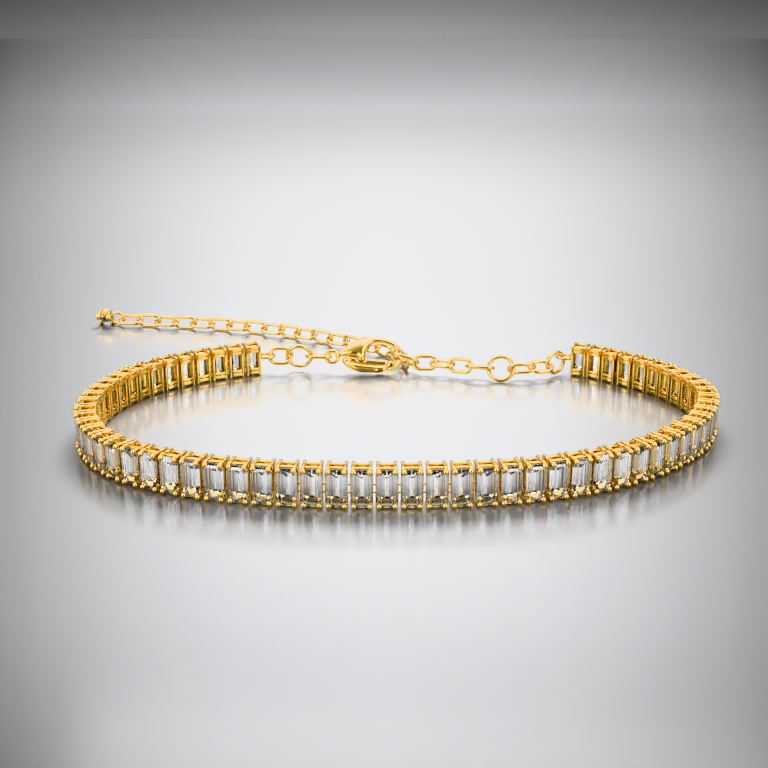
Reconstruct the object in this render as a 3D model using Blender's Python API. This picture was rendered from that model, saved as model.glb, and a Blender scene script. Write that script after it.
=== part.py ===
import math

import bmesh
import bpy
from mathutils import Matrix, Vector

MM = 0.001

# Stones: step cut, taller than wide, with cut corners
STONE_WIDTH = 2.08 * MM
STONE_HEIGHT = 3.86 * MM
STONE_GAP = 0.327 * MM
CROWN_RISE = 0.32 * MM
TABLE_INSET = 0.42 * MM
TABLE_CORNER = 0.40 * MM
PAVILION_WIDTH = 1.0 * MM
PAVILION_HEIGHT = 2.6 * MM
PAVILION_DEPTH = 1.15 * MM
KEEL_LENGTH = 1.6 * MM

# Settings: two side plates, two gallery rails and a bead on each corner
SETTINGS_IN_HALF = 31
SETTING_HEIGHT = 4.2 * MM
BASKET_DEPTH = 2.02 * MM
PLATE_THICKNESS = 0.42 * MM
PLATE_INSET = 0.06 * MM
BEAD_RADIUS = 0.35 * MM
BEAD_STAND = 0.20 * MM
# Where a bead leaves the stone: below its centre on the girdle, and on the crown, as shares
# of its radius and of the crown's rise
BEAD_GIRDLE_SHARE = 0.7
BEAD_CROWN_SHARES = (0.5, 0.6)
BEAD_CROWN_HEIGHT = 0.75
BEAD_RING_ANGLES = (198, 126, 54, -18, -90)
PAVILION_OVERLAP_SHARE = 1 / 3
RAIL_THICKNESS = 0.42 * MM
RAIL_FRONT_DROP = 0.32 * MM
RAIL_BACK_DROP = 0.85 * MM
RAIL_SETBACK = 0.25 * MM

# Webs that carry one setting on the next, and the loops soldered to the row's two ends
WEB_HEIGHT = 1.5 * MM
WEB_DEPTH = 0.8 * MM
SOLDER = 0.12 * MM
JOIN_GAP = 0.12 * MM
END_LOOP_HOLE = 1.60 * MM
END_LOOP_WIRE = 0.42 * MM
END_LOOP_HEIGHT_SHARE = 0.55

# Plan of the loop, as shares of its half width and half depth, from the front centre
# through the right side and the open back to the left side
LOOP_ASPECT = 0.70
ROUTE_SHARES = (
    (0.000, -1.000),
    (0.184, -0.985),
    (0.378, -0.932),
    (0.576, -0.822),
    (0.763, -0.633),
    (0.924, -0.352),
    (1.000, 0.000),
    (0.930, 0.358),
    (0.800, 0.585),
    (0.667, 0.730),
    (0.360, 0.820),
    (0.000, 0.850),
    (-0.300, 0.840),
    (-0.500, 0.775),
    (-0.736, 0.607),
    (-0.915, 0.354),
    (-0.998, -0.004),
    (-0.975, -0.376),
    (-0.838, -0.693),
    (-0.616, -0.883),
    (-0.391, -0.967),
    (-0.185, -0.998),
)
ROW_SHIFT = -3.0 * MM
SAMPLES_PER_SPAN = 24
SEARCH_STEPS = 40

# Chain links: play between two links, and how much of the right chain's length is slack
LINK_PLAY = 0.16 * MM
WIRE_SIDES = 5
LINK_POINTS = 10
ROUND_LINK_POINTS = 12
RIGHT_SLACK = 0.075
BOW_SKEW = 1.5
BOW_LEAN = math.radians(28)
REST_CLEARANCE = 0.06 * MM

# Name, inner length, inner width, wire and lean of each link, from the row to the clasp
# and then from the clasp to the row; a lean of 0 lies flat and -90 stands facing front
LEFT_LINKS = (
    ("left_link_1", 2.55 * MM, 1.70 * MM, 0.44 * MM, -52),
    ("left_link_2", 2.80 * MM, 2.80 * MM, 0.46 * MM, -110),
    ("left_link_3", 2.80 * MM, 1.30 * MM, 0.44 * MM, 12),
)
CLAW_LINK = ("claw_link", 3.20 * MM, 1.90 * MM, 0.44 * MM)
CLAW_LINK_DROOP = math.radians(17)
CLAW_LINK_PLAY = 0.34 * MM
TAIL_HANG = 0.28 * MM
RIGHT_LINKS = (
    ("right_link_1", 2.60 * MM, 1.25 * MM, 0.44 * MM, -72),
    ("right_link_2", 2.60 * MM, 1.25 * MM, 0.44 * MM, -8),
    ("right_link_3", 2.60 * MM, 1.25 * MM, 0.44 * MM, -76),
    ("right_link_4", 3.10 * MM, 1.40 * MM, 0.44 * MM, 20),
    ("right_link_5", 2.80 * MM, 2.80 * MM, 0.46 * MM, -56),
    ("right_link_6", 3.00 * MM, 1.40 * MM, 0.44 * MM, 50),
    ("right_link_7", 2.80 * MM, 1.80 * MM, 0.44 * MM, -20),
    ("right_link_8", 2.60 * MM, 2.20 * MM, 0.44 * MM, -86),
)

# Extender tail: equal links, leaning by turns, along a few chosen points from the claw link
TAIL_LINKS = 18
TAIL_LINK_LENGTH = 3.10 * MM
TAIL_LINK_WIDTH = 1.25 * MM
TAIL_WIRE = 0.44 * MM
TAIL_LEANS = (-90, -22, -100, -30)
TAIL_ROUTE = (
    (0.0 * MM, 0.0 * MM),
    (-0.8 * MM, 3.0 * MM),
    (-2.6 * MM, 5.7 * MM),
    (-5.3 * MM, 8.4 * MM),
    (-9.1 * MM, 11.4 * MM),
    (-13.9 * MM, 14.6 * MM),
    (-20.0 * MM, 18.0 * MM),
    (-28.0 * MM, 20.8 * MM),
    (-36.5 * MM, 22.6 * MM),
    (-45.5 * MM, 24.2 * MM),
    (-54.0 * MM, 25.4 * MM),
)

# End drop: a small four-bead collet lying on its side, with its bail
DROP_SIZE = 2.3 * MM
DROP_DEPTH = 1.5 * MM
DROP_BEAD = 0.5 * MM
DROP_CROWN = 0.4 * MM
DROP_TILT = math.radians(-55)
DROP_RINGS = ((-DROP_DEPTH, 0.62), (0.0, 0.9), (DROP_CROWN, 0.5))
DROP_CORNER_SHARE = 0.55
DROP_BEAD_SHARE = 0.5
BAIL_HOLE = 1.5 * MM
BAIL_WIRE = 0.44 * MM

# Lobster clasp: length, width and thickness of the casting, its lean and its pivot
CLASP_LENGTH = 9.0 * MM
CLASP_WIDTH = 4.8 * MM
CLASP_THICKNESS = 2.1 * MM
CLASP_LEAN = math.radians(55)
CLASP_EDGE = 0.24 * MM
EYE_HOLE = 1.15 * MM
EYE_WIRE = 0.5 * MM
PIVOT_ALONG = 0.433
PIVOT_ACROSS = -0.062
LOBE_RADIUS = 0.60 * MM
LOBE_CLEARANCE = 0.14 * MM
HUB_RADIUS = 0.50 * MM
HUB_THICKNESS = 0.70 * MM
SLOT_CLEARANCE = 0.10 * MM
PIN_RADIUS = 0.20 * MM
PIN_CLEARANCE = 0.12 * MM
GATE_REACH = 3.50 * MM
GATE_CLEARANCE = 0.14 * MM
GATE_THICKNESS = 0.80
GATE_WEB_SHARE = 0.7
NUB_RADIUS = 0.36 * MM
NUB_SHARES = (0.48, 0.535)

# Where the claw link lies in the hook, as a share of the clasp's width
HOOK_ACROSS = 0.03

# Outline of the casting, as shares of the clasp's length and width; the hook's tip and the
# lobe round the pivot are arcs and stand between the two lists
SPINE_SHARES = (
    (0.055, -0.035),
    (0.055, 0.085),
    (0.190, 0.285),
    (0.360, 0.460),
    (0.535, 0.545),
    (0.725, 0.550),
    (0.880, 0.470),
    (1.000, 0.305),
    (1.055, 0.095),
    (1.038, -0.135),
    (0.972, -0.310),
    (0.885, -0.405),
)
HOOK_SHARES = (
    (0.912, -0.125),
    (0.955, -0.020),
    (0.955, 0.160),
    (0.890, 0.310),
    (0.745, 0.400),
    (0.600, 0.365),
    (0.528, 0.230),
    (0.500, 0.070),
)
LIP_SHARES = (
    (0.215, 0.005),
    (0.130, 0.005),
)
TIP_ACROSS = (-0.415, -0.270, -0.135)
GATE_TOP_SHARES = (
    (0.530, -0.100),
    (0.700, -0.125),
)
GATE_ACROSS = (-0.135, -0.270, -0.425)
GATE_BOTTOM_SHARES = (
    (0.630, -0.450),
    (0.400, -0.430),
    (0.245, -0.315),
    (0.160, -0.175),
    (0.155, -0.050),
    (0.215, -0.035),
)
# Half thickness along the clasp, as shares of its length and of its half thickness
BULGE_SHARES = ((0.0, 0.42), (0.22, 0.80), (0.45, 1.0), (0.70, 0.80), (0.92, 0.60), (1.1, 0.52))

GOLD = (0.80, 0.52, 0.14, 1.0)
PALE_STONE = (0.88, 0.87, 0.84, 1.0)


def clear_scene():
    for obj in list(bpy.data.objects):
        bpy.data.objects.remove(obj)


def make_material(name, colour, roughness, metallic):
    material = bpy.data.materials.new(name)
    material.use_nodes = True
    shader = material.node_tree.nodes["Principled BSDF"]
    shader.inputs["Base Color"].default_value = colour
    shader.inputs["Roughness"].default_value = roughness
    shader.inputs["Metallic"].default_value = metallic
    return material


# Mesh helpers

def loft(bm, rings, closed=False):
    """Skins rings of points, the last to the first if closed; a ring of one point is a tip."""
    made = [[bm.verts.new(point) for point in ring] for ring in rings]
    pairs = list(zip(made, made[1:] + made[:1])) if closed else list(zip(made, made[1:]))
    for first, second in pairs:
        count = max(len(first), len(second))
        for k in range(count):
            corners = [first[k % len(first)], first[(k + 1) % len(first)]]
            corners += [second[(k + 1) % len(second)], second[k % len(second)]]
            bm.faces.new(list(dict.fromkeys(corners)))
    if not closed:
        for ring in (made[0], made[-1]):
            if len(ring) > 2:
                bm.faces.new(ring)


def finish_mesh(bm, name):
    bmesh.ops.recalc_face_normals(bm, faces=bm.faces)
    mesh = bpy.data.meshes.new(name)
    bm.to_mesh(mesh)
    bm.free()
    return mesh


def add_object(name, mesh, material, matrix=Matrix.Identity(4)):
    obj = bpy.data.objects.new(name, mesh)
    obj.matrix_world = matrix
    bpy.context.scene.collection.objects.link(obj)
    mesh.materials.clear()
    mesh.materials.append(material)
    return obj


def add_helper(name, mesh):
    obj = bpy.data.objects.new(name, mesh)
    bpy.context.scene.collection.objects.link(obj)
    obj.hide_render = True
    obj.display_type = "WIRE"
    return obj


def combined(name, base, steps):
    """The mesh of base after Booleans with each (operation, mesh) of steps, with flat faces merged."""
    host = add_helper(name, base)
    helpers = [host]
    for index, (operation, mesh) in enumerate(steps):
        tool = add_helper(f"{name}_tool_{index}", mesh)
        helpers.append(tool)
        boolean = host.modifiers.new(f"boolean_{index}", "BOOLEAN")
        boolean.operation = operation
        boolean.solver = "EXACT"
        boolean.object = tool
    bpy.context.view_layer.update()
    graph = bpy.context.evaluated_depsgraph_get()
    mesh = bpy.data.meshes.new_from_object(host.evaluated_get(graph))
    for helper in helpers:
        bpy.data.objects.remove(helper)
    bm = bmesh.new()
    bm.from_mesh(mesh)
    bmesh.ops.remove_doubles(bm, verts=bm.verts, dist=0.0005 * MM)
    bmesh.ops.dissolve_limit(bm, angle_limit=math.radians(0.2), verts=bm.verts, edges=bm.edges)
    bmesh.ops.triangulate(bm, faces=bm.faces)
    bm.to_mesh(mesh)
    bm.free()
    mesh.name = name
    return mesh


def box_mesh(name, low, high):
    bm = bmesh.new()
    bmesh.ops.create_cube(bm, size=1.0)
    for vert in bm.verts:
        vert.co = Vector(a + (b - a) * (c + 0.5) for a, b, c in zip(low, high, vert.co))
    return finish_mesh(bm, name)


def disc_mesh(name, centre, radius, half_thickness, sides):
    """A round bar along the local Z axis, centred on a point of the XY plane."""
    bm = bmesh.new()
    place = Matrix.Translation((centre[0], centre[1], 0))
    bmesh.ops.create_cone(
        bm, cap_ends=True, segments=sides, radius1=radius, radius2=radius,
        depth=2 * half_thickness, matrix=place,
    )
    return finish_mesh(bm, name)


def bead_into(bm, centre, radius, back, axis, sides=8):
    """A bead with its widest ring across the axis; its back tip reaches into what carries it."""
    across = axis.orthogonal().normalized()
    other = axis.cross(across)
    ring = []
    for k in range(sides):
        angle = 2 * math.pi / sides * k
        ring.append(centre + radius * (math.cos(angle) * across + math.sin(angle) * other))
    loft(bm, [[centre - axis * back], ring, [centre + axis * radius]])


def link_path(inner_length, inner_width, wire, sides):
    """Centreline of a link: two half circles joined by straight sides, along X."""
    half_width = (inner_width + wire) / 2
    half_length = (inner_length + wire) / 2
    straight = half_length - half_width
    half = sides // 2
    points = []
    for end in (1, -1):
        for k in range(half):
            spread = k / (half - 1) if straight > 0 else (k + 0.5) / half
            angle = (spread - 0.5) * math.pi + (0 if end > 0 else math.pi)
            x = end * straight + half_width * math.cos(angle)
            points.append(Vector((x, half_width * math.sin(angle), 0)))
    return points


def link_into(bm, inner_length, inner_width, wire, matrix=Matrix.Identity(4)):
    """A link lying in the local XY plane, its length along X."""
    count = ROUND_LINK_POINTS if inner_length <= inner_width else LINK_POINTS
    path = link_path(inner_length, inner_width, wire, count)
    rings = []
    for k, point in enumerate(path):
        ahead = (path[(k + 1) % count] - path[k - 1]).normalized()
        outward = Vector((ahead.y, -ahead.x, 0))
        ring = []
        for side in range(WIRE_SIDES):
            angle = 2 * math.pi * side / WIRE_SIDES
            offset = outward * math.cos(angle) + Vector((0, 0, math.sin(angle)))
            ring.append(matrix @ (point + offset * wire / 2))
        rings.append(ring)
    loft(bm, rings, closed=True)


def link_half(inner_length):
    """From a link's centre to the point where it hangs in its neighbour."""
    return (inner_length - LINK_PLAY) / 2


# One setting with its stone; X runs along the row, Y outwards, Z up, Y = 0 at the stone's girdle

def basket_width():
    return STONE_WIDTH - 2 * PLATE_INSET


def mirrored(points):
    """The points given for the upper right corner, in order round all four corners."""
    middle = SETTING_HEIGHT / 2
    corners = []
    for index, (sx, sz) in enumerate(((1, 1), (-1, 1), (-1, -1), (1, -1))):
        placed = [Vector((sx * x, y, middle + sz * z)) for x, y, z in points]
        corners.append((placed, index % 2 == 1))
    return corners


def crown_mesh():
    """The stone's crown and table, the four beads and the side plates behind them, as one skin."""
    half_x, half_z = STONE_WIDTH / 2, STONE_HEIGHT / 2
    plate_out = basket_width() / 2
    plate_in = plate_out - PLATE_THICKNESS
    bead_x = (plate_in + plate_out) / 2
    bead_z = SETTING_HEIGHT / 2 - BEAD_RADIUS
    table_x, table_z = half_x - TABLE_INSET, half_z - TABLE_INSET
    turns = [math.radians(angle) for angle in BEAD_RING_ANGLES]
    crown_x, crown_z = BEAD_CROWN_SHARES
    corner = [
        (bead_x - BEAD_RADIUS, 0, half_z),
        (plate_in, 0, SETTING_HEIGHT / 2),
        (plate_out, 0, SETTING_HEIGHT / 2),
        (half_x, 0, bead_z - BEAD_RADIUS * BEAD_GIRDLE_SHARE),
        (bead_x - BEAD_RADIUS * crown_x, CROWN_RISE * BEAD_CROWN_HEIGHT, bead_z - BEAD_RADIUS * crown_z),
    ]
    corner += [
        (bead_x + BEAD_RADIUS * math.cos(turn), BEAD_STAND, bead_z + BEAD_RADIUS * math.sin(turn))
        for turn in turns
    ]
    corner += [
        (bead_x, BEAD_STAND + BEAD_RADIUS, bead_z),
        (table_x - TABLE_CORNER, CROWN_RISE, table_z),
        (table_x, CROWN_RISE, table_z - TABLE_CORNER),
        (plate_in, -BASKET_DEPTH, SETTING_HEIGHT / 2),
        (plate_out, -BASKET_DEPTH, SETTING_HEIGHT / 2),
    ]
    bm = bmesh.new()
    found = []
    order = []
    for points, turned in mirrored(corner):
        verts = [bm.verts.new(point) for point in points]
        foot, ring = verts[:5], verts[5:10]
        tip, table_a, table_b = verts[10:13]
        for k in range(5):
            bm.faces.new((foot[k], foot[(k + 1) % 5], ring[(k + 1) % 5], ring[k]))
            bm.faces.new((ring[k], ring[(k + 1) % 5], tip))
        bm.faces.new((table_a, foot[0], foot[4]))
        bm.faces.new((table_a, foot[4], table_b))
        bm.faces.new((table_b, foot[4], foot[3]))
        found.append(verts)
        order += [table_a, table_b] if turned else [table_b, table_a]
    bm.faces.new(order)
    # Corners 0 and 1 are the upper ones, 0 and 3 the right-hand ones
    for one, two in ((0, 1), (3, 2)):
        a, b = found[one], found[two]
        bm.faces.new((a[0], b[0], b[11], a[11]))
    for one, two in ((0, 3), (1, 2)):
        a, b = found[one], found[two]
        bm.faces.new((a[3], b[3], b[12], a[12]))
        bm.faces.new((a[2], a[3], b[3], b[2]))
        bm.faces.new((a[1], a[13], b[13], b[1]))
        bm.faces.new((a[2], a[14], b[14], b[2]))
        bm.faces.new((a[13], a[14], b[14], b[13]))
        for v in (a, b):
            bm.faces.new((v[1], v[2], v[14], v[13]))
    a, b, c, d = found
    bm.faces.new((a[1], a[0], b[0], b[1], c[1], c[0], d[0], d[1]))
    return finish_mesh(bm, "crown")


def pavilion_mesh():
    """The part of the stone's pavilion that shows between the plates, down to its keel."""
    middle = SETTING_HEIGHT / 2
    half_x, half_z = PAVILION_WIDTH / 2, PAVILION_HEIGHT / 2
    inside = CROWN_RISE * PAVILION_OVERLAP_SHARE
    corners = ((1, 1), (-1, 1), (-1, -1), (1, -1))
    bm = bmesh.new()
    front = [bm.verts.new((sx * half_x, inside, middle + sz * half_z)) for sx, sz in corners]
    upper, lower = [bm.verts.new((0, -PAVILION_DEPTH, middle + s * KEEL_LENGTH / 2)) for s in (1, -1)]
    bm.faces.new(front)
    bm.faces.new((front[0], front[1], upper))
    bm.faces.new((front[1], front[2], lower, upper))
    bm.faces.new((front[2], front[3], lower))
    bm.faces.new((front[3], front[0], upper, lower))
    return finish_mesh(bm, "pavilion")


def rail_mesh(name, side):
    """A gallery rail between the side plates, higher at the stone than at the back."""
    half = basket_width() / 2 - PLATE_THICKNESS / 2
    middle = SETTING_HEIGHT / 2
    back = -BASKET_DEPTH + SOLDER / 2
    front_top = SETTING_HEIGHT / 2 - RAIL_FRONT_DROP
    back_top = SETTING_HEIGHT / 2 - RAIL_BACK_DROP
    profile = (
        (-RAIL_SETBACK, front_top),
        (back, back_top),
        (back + RAIL_THICKNESS, back_top - RAIL_THICKNESS),
    )
    bm = bmesh.new()
    loft(bm, [[Vector((x, y, middle + side * z)) for y, z in profile] for x in (-half, half)])
    return finish_mesh(bm, name)


def setting_mesh():
    steps = [("UNION", rail_mesh("upper_rail", 1)), ("UNION", rail_mesh("lower_rail", -1))]
    return combined("setting", crown_mesh(), steps + [("UNION", pavilion_mesh())])


# The loop's plan: a closed smooth curve with its length measured along it

def smooth_points(points, closed, samples):
    """Catmull-Rom curve through the points."""
    count = len(points)
    spans = count if closed else count - 1
    found = []
    for i in range(spans):
        four = [
            points[(i + k) % count] if closed else points[min(max(i + k, 0), count - 1)]
            for k in (-1, 0, 1, 2)
        ]
        for step in range(samples):
            t = step / samples
            a = 2 * four[1]
            b = (four[2] - four[0]) * t
            c = (2 * four[0] - 5 * four[1] + 4 * four[2] - four[3]) * t * t
            d = (3 * four[1] - four[0] - 3 * four[2] + four[3]) * t * t * t
            found.append((a + b + c + d) / 2)
    if not closed:
        found.append(points[-1])
    return found


class Plan:
    """The loop's centreline at a given half width, read by the length from the front centre."""

    def __init__(self, half_width):
        shares = [Vector((x * half_width, y * half_width * LOOP_ASPECT, 0)) for x, y in ROUTE_SHARES]
        self.points = smooth_points(shares, True, SAMPLES_PER_SPAN)
        self.points.append(self.points[0])
        self.reach = [0.0]
        for first, second in zip(self.points, self.points[1:]):
            self.reach.append(self.reach[-1] + (second - first).length)

    def place(self, distance):
        """The point there, and the direction towards greater distance."""
        distance = (distance + ROW_SHIFT) % self.reach[-1]
        k = 0
        while self.reach[k + 1] < distance:
            k += 1
        first, second = self.points[k], self.points[k + 1]
        share = (distance - self.reach[k]) / (self.reach[k + 1] - self.reach[k])
        return first.lerp(second, share), (second - first).normalized()


def pitch():
    return STONE_WIDTH + STONE_GAP


def stand(point, ahead):
    """Places a setting, web or end loop made about the girdle on the plan's centreline."""
    outward = Vector((ahead.y, -ahead.x, 0))
    route_depth = (BASKET_DEPTH - BEAD_STAND - BEAD_RADIUS) / 2
    along = -ahead
    up = Vector((0, 0, 1))
    turn = Matrix((along, outward, up)).transposed().to_4x4()
    return Matrix.Translation(point + outward * route_depth) @ turn


def row_end(plan, side):
    """The placing of the last setting's outer edge, and the centre of the end loop."""
    length = (SETTINGS_IN_HALF - 0.5) * pitch()
    point, ahead = plan.place(side * length)
    matrix = stand(point, ahead)
    loop_radius = END_LOOP_HOLE / 2 + END_LOOP_WIRE
    offset = basket_width() / 2 + loop_radius - SOLDER
    depth = -BASKET_DEPTH / 2
    centre = matrix @ Vector((-side * offset, depth, end_loop_height()))
    return centre


def end_loop_height():
    return SETTING_HEIGHT * END_LOOP_HEIGHT_SHARE


def web_mesh(name, places):
    """Webs between neighbouring settings, each (matrix, from, to) along the row."""
    bm = bmesh.new()
    middle = SETTING_HEIGHT / 2
    depth = -BASKET_DEPTH / 2
    for matrix, start, stop in places:
        cube = bmesh.ops.create_cube(bm, size=1.0)
        for vert in cube["verts"]:
            x = start + (stop - start) * (vert.co.x + 0.5)
            y = depth + WEB_DEPTH * vert.co.y
            z = middle + WEB_HEIGHT * vert.co.z
            vert.co = matrix @ Vector((x, y, z))
    return finish_mesh(bm, name)


def half_row(name, side, plan, setting, material):
    bm = bmesh.new()
    webs = []
    reach = (pitch() - basket_width()) / 2
    for index in range(SETTINGS_IN_HALF):
        matrix = stand(*plan.place(side * (index + 0.5) * pitch()))
        copy = setting.copy()
        copy.transform(matrix)
        bm.from_mesh(copy)
        if index:
            between = stand(*plan.place(side * index * pitch()))
            webs.append((between, -reach - SOLDER, reach + SOLDER))
    if side < 0:
        between = stand(*plan.place(0))
        webs.append((between, -reach + JOIN_GAP, reach + SOLDER))
    settings = finish_mesh(bm, name + "_settings")
    joined = web_mesh(name + "_webs", webs)
    bm = bmesh.new()
    bm.from_mesh(joined)
    centre = row_end(plan, side)
    link_into(bm, END_LOOP_HOLE, END_LOOP_HOLE, END_LOOP_WIRE, matrix=Matrix.Translation(centre))
    carriers = finish_mesh(bm, name + "_carriers")
    mesh = combined(name, settings, [("UNION", carriers)])
    return add_object(name, mesh, material)


# The chain

def leaning(along, lean):
    """The turn of a link along a direction, its width leaning up from the side nearer the front."""
    along = along.normalized()
    level = Vector((along.y, -along.x, 0)).normalized()
    if level.y > 0.5:
        level.negate()
    lift = along.cross(level)
    if lift.z < 0:
        lift.negate()
    width = level * math.cos(math.radians(lean)) + lift * math.sin(math.radians(lean))
    return Matrix((along, width, along.cross(width))).transposed().to_4x4()


def placed_link(name, mesh, start, stop, lean, material):
    """A link from one hanging point to the next, leaning about its own length."""
    place = Matrix.Translation((start + stop) / 2)
    return add_object(name, mesh, material, place @ leaning(stop - start, lean))


def link_mesh(name, inner_length, inner_width, wire):
    bm = bmesh.new()
    link_into(bm, inner_length, inner_width, wire)
    return finish_mesh(bm, name)


def step_along(route, start, share, length):
    """The share of the route, past share, whose point lies a given length from start."""
    low, high = share, share
    while (route(high) - start).length < length:
        high += 0.02
        if high > 3:
            break
    for _ in range(SEARCH_STEPS):
        middle = (low + high) / 2
        if (route(middle) - start).length < length:
            low = middle
        else:
            high = middle
    return high


def resting_height(inner_width, wire, lean):
    """The least height of a leaning link's centre."""
    tilt = abs(math.radians(lean))
    return (inner_width + wire) / 2 * math.sin(tilt) + wire / 2 + REST_CLEARANCE


def march(route, start, lengths):
    """Hanging points along a route, each a link's length from the one before, and the last share."""
    points, share = [start], 0.0
    for length in lengths:
        share = step_along(route, points[-1], share, length)
        points.append(route(share))
    return points, share


def bowed_route(start, end, bow, rest_height):
    """A route that bows towards the front and sags, but not below its rest height."""
    lean = Vector((0, -math.cos(BOW_LEAN), -math.sin(BOW_LEAN)))

    def route(share):
        skewed = min(share, 1.0) ** BOW_SKEW
        point = start.lerp(end, share) + lean * bow * 4 * skewed * (1 - skewed)
        point.z = max(point.z, rest_height)
        return point

    return route


def bowed_chain(start, end, lengths, rest_height):
    """The hanging points of a slack chain between two points."""
    low, high = 0.0, (end - start).length
    for _ in range(SEARCH_STEPS):
        bow = (low + high) / 2
        if march(bowed_route(start, end, bow, rest_height), start, lengths)[1] > 1:
            low = bow
        else:
            high = bow
    return march(bowed_route(start, end, (low + high) / 2, rest_height), start, lengths)[0]


# The clasp, in its own frame: X along it from the eye, Y across towards the spine, Z its thickness

def clasp_points(shares):
    return [Vector((x * CLASP_LENGTH, y * CLASP_WIDTH)) for x, y in shares]


def pivot_point():
    return Vector((PIVOT_ALONG * CLASP_LENGTH, PIVOT_ACROSS * CLASP_WIDTH))


def arc_round(centre, radius, first, last, steps):
    found = []
    for k in range(steps + 1):
        angle = math.radians(first + (last - first) * k / steps)
        found.append(centre + radius * Vector((math.cos(angle), math.sin(angle))))
    return found


def gate_end(radius, shares):
    """Points at these shares of the clasp's width, on the arc that the gate's end sweeps."""
    pivot = pivot_point()
    found = []
    for share in shares:
        across = share * CLASP_WIDTH
        found.append(Vector((pivot.x + math.sqrt(radius ** 2 - (across - pivot.y) ** 2), across)))
    return found


def bulge(along):
    """The clasp's half thickness at a place along it."""
    share = along / CLASP_LENGTH
    table = BULGE_SHARES
    for (x0, y0), (x1, y1) in zip(table, table[1:]):
        if share <= x1:
            break
    t = min(max((share - x0) / (x1 - x0), 0), 1)
    return (y0 + (y1 - y0) * t) * CLASP_THICKNESS / 2


def plate_mesh(name, outline, thickness_share):
    """A plate with the outline, thick by the clasp's bulge, with its edges eased."""
    bm = bmesh.new()
    face = bm.faces.new([bm.verts.new((p.x, p.y, 0)) for p in outline])
    if face.normal.z < 0:
        face.normal_flip()
    raised = bmesh.ops.extrude_face_region(bm, geom=[face])
    top = [item for item in raised["geom"] if isinstance(item, bmesh.types.BMFace)]
    for vert in top[0].verts:
        vert.co.z = 1
    for vert in face.verts:
        vert.co.z = -1
    bmesh.ops.recalc_face_normals(bm, faces=bm.faces)
    caps = [f for f in bm.faces if len(f.verts) == len(outline)]
    rim = {v for f in caps for v in f.verts}
    bmesh.ops.inset_individual(bm, faces=caps, thickness=CLASP_EDGE, depth=0)
    for vert in bm.verts:
        side = 1 if vert.co.z > 0 else -1
        half = bulge(vert.co.x) * thickness_share
        vert.co.z = side * (half - CLASP_EDGE if vert in rim else half)
    return finish_mesh(bm, name)


def clasp_body_mesh():
    pivot = pivot_point()
    tip = gate_end(GATE_REACH + GATE_CLEARANCE, TIP_ACROSS)
    lobe = arc_round(pivot, LOBE_RADIUS, 20, -190, 6)
    outline = clasp_points(SPINE_SHARES) + tip + clasp_points(HOOK_SHARES) + lobe + clasp_points(LIP_SHARES)
    casting = plate_mesh("casting", outline, 1.0)
    half_slot = HUB_THICKNESS / 2 + SLOT_CLEARANCE
    slot = disc_mesh("slot", pivot, LOBE_RADIUS + SOLDER / 2, half_slot, 10)
    pin = disc_mesh("pin", pivot, PIN_RADIUS, bulge(pivot.x) - CLASP_EDGE / 2, 6)
    bm = bmesh.new()
    link_into(bm, EYE_HOLE, EYE_HOLE, EYE_WIRE)
    eye = finish_mesh(bm, "eye")
    bm = bmesh.new()
    nub = clasp_points((NUB_SHARES,))[0]
    bead_into(bm, Vector((nub.x, nub.y, 0)), NUB_RADIUS, NUB_RADIUS, Vector((0, 1, 0)))
    steps = [("DIFFERENCE", slot), ("UNION", pin), ("UNION", eye), ("UNION", finish_mesh(bm, "nub"))]
    return combined("clasp_body", casting, steps)


def gate_mesh():
    """The sprung gate, in the clasp's frame."""
    pivot = pivot_point()
    relief = arc_round(pivot, LOBE_RADIUS + LOBE_CLEARANCE, -170, -10, 5)
    end = gate_end(GATE_REACH, GATE_ACROSS)
    outline = relief + clasp_points(GATE_TOP_SHARES) + end + clasp_points(GATE_BOTTOM_SHARES)
    arms = plate_mesh("arms", outline, GATE_THICKNESS)
    half = HUB_THICKNESS / 2
    hub = disc_mesh("hub", pivot, HUB_RADIUS, half, 10)
    web_low = pivot.y - LOBE_RADIUS - LOBE_CLEARANCE - HUB_RADIUS
    web_half = HUB_RADIUS * GATE_WEB_SHARE
    web = box_mesh("web", (pivot.x - web_half, web_low, -half), (pivot.x + web_half, pivot.y, half))
    hole = disc_mesh("hole", pivot, PIN_RADIUS + PIN_CLEARANCE, half * 2, 8)
    return combined("clasp_gate", arms, [("UNION", hub), ("UNION", web), ("DIFFERENCE", hole)])


def clasp_frame(origin, along):
    """Turns the clasp's frame to the chain's direction, its spine leaning back and up."""
    back = Vector((-along.y, along.x, 0)).normalized()
    across = back * math.cos(CLASP_LEAN) + Vector((0, 0, math.sin(CLASP_LEAN)))
    across = (across - along * across.dot(along)).normalized()
    normal = along.cross(across)
    turn = Matrix((along, across, normal)).transposed().to_4x4()
    return Matrix.Translation(origin) @ turn


def clasp_height():
    """The height of the clasp's middle line, with its gate's edge just clear of the surface."""
    lowest = max(-y for _, y in GATE_BOTTOM_SHARES) * CLASP_WIDTH
    edge = CLASP_THICKNESS / 2 * GATE_THICKNESS - CLASP_EDGE
    return lowest * math.sin(CLASP_LEAN) + edge * math.cos(CLASP_LEAN) + REST_CLEARANCE


def hook_inside():
    """How far from the eye's centre the hook's inner wall lies."""
    return max(x for x, _ in HOOK_SHARES) * CLASP_LENGTH


def clasp_span():
    """Along the clasp, from where the left chain hangs in the eye to where the claw link hangs."""
    return link_half(EYE_HOLE) + hook_inside() - LINK_PLAY / 2


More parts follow.
